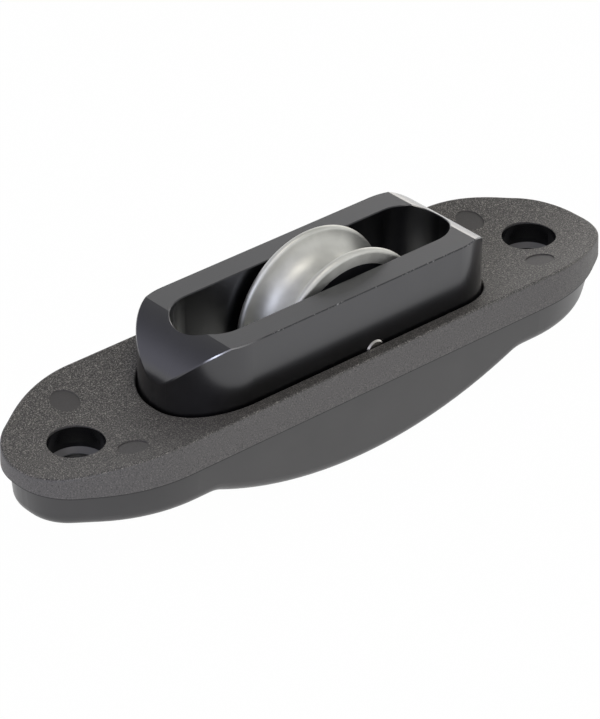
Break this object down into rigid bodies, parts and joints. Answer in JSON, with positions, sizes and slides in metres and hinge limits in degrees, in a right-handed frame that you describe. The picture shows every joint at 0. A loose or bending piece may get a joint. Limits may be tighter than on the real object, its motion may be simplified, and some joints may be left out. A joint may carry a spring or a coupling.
{
  "type": "flush sheave block",
  "caption": "Flush sheave block for a round spar: a slim moulded housing with a hollow saddle, a metal carrier and a grooved sheave on ball bearings.",
  "frame": {"origin": "midway between the two fixing holes, on the lowest line of the saddle", "axes": "+X along the block towards the end that the sheave is nearer to, +Y across it, +Z out of the saddle, into the spar"},
  "size_m": [0.1178, 0.0306, 0.0317],
  "materials": {
    "housing_nylon": "black glass-filled nylon, spark-textured saddle and band, smoother belly",
    "carrier_black_anodised": "machined and black anodised, satin",
    "axle_steel": "turned stainless steel, bright",
    "sheave_aluminium": "turned, fine-blasted and clear anodised, satin silver",
    "hub_steel": "turned stainless steel",
    "cap_acetal": "black acetal, semi-matt",
    "washer_acetal": "black acetal, semi-matt",
    "ball_steel": "polished stainless steel"
  },
  "bodies": {
    "housing_body": {"housing": "housing_nylon", "sheave_carrier": "carrier_black_anodised", "axle_pin": "axle_steel", "bearing_hub": "hub_steel", "thrust_washer_near": "washer_acetal", "thrust_washer_far": "washer_acetal"},
    "sheave_body": {"sheave": "sheave_aluminium", "side_cap_near": "cap_acetal", "side_cap_far": "cap_acetal"},
    "ball_train": {"ball_near_01": "ball_steel", "ball_near_02": "ball_steel", "ball_near_03": "ball_steel", "ball_near_04": "ball_steel", "ball_near_05": "ball_steel", "ball_near_06": "ball_steel", "ball_near_07": "ball_steel", "ball_near_08": "ball_steel", "ball_near_09": "ball_steel", "ball_near_10": "ball_steel", "ball_near_11": "ball_steel", "ball_near_12": "ball_steel", "ball_far_01": "ball_steel", "ball_far_02": "ball_steel", "ball_far_03": "ball_steel", "ball_far_04": "ball_steel", "ball_far_05": "ball_steel", "ball_far_06": "ball_steel", "ball_far_07": "ball_steel", "ball_far_08": "ball_steel", "ball_far_09": "ball_steel", "ball_far_10": "ball_steel", "ball_far_11": "ball_steel", "ball_far_12": "ball_steel"}
  },
  "joints": [
    {"name": "sheave_spin", "type": "hinge", "parent": "housing_body", "child": "sheave_body", "pos_m": [0.0034, 0, 0.00065], "axis": [0, 1, 0], "continuous": true},
    {"name": "ball_train_spin", "type": "hinge", "parent": "housing_body", "child": "ball_train", "pos_m": [0.0034, 0, 0.00065], "axis": [0, 1, 0], "continuous": true}
  ],
  "couplings": [
    {"joint": "ball_train_spin", "follows": "sheave_spin", "ratio": 0.624}
  ]
}
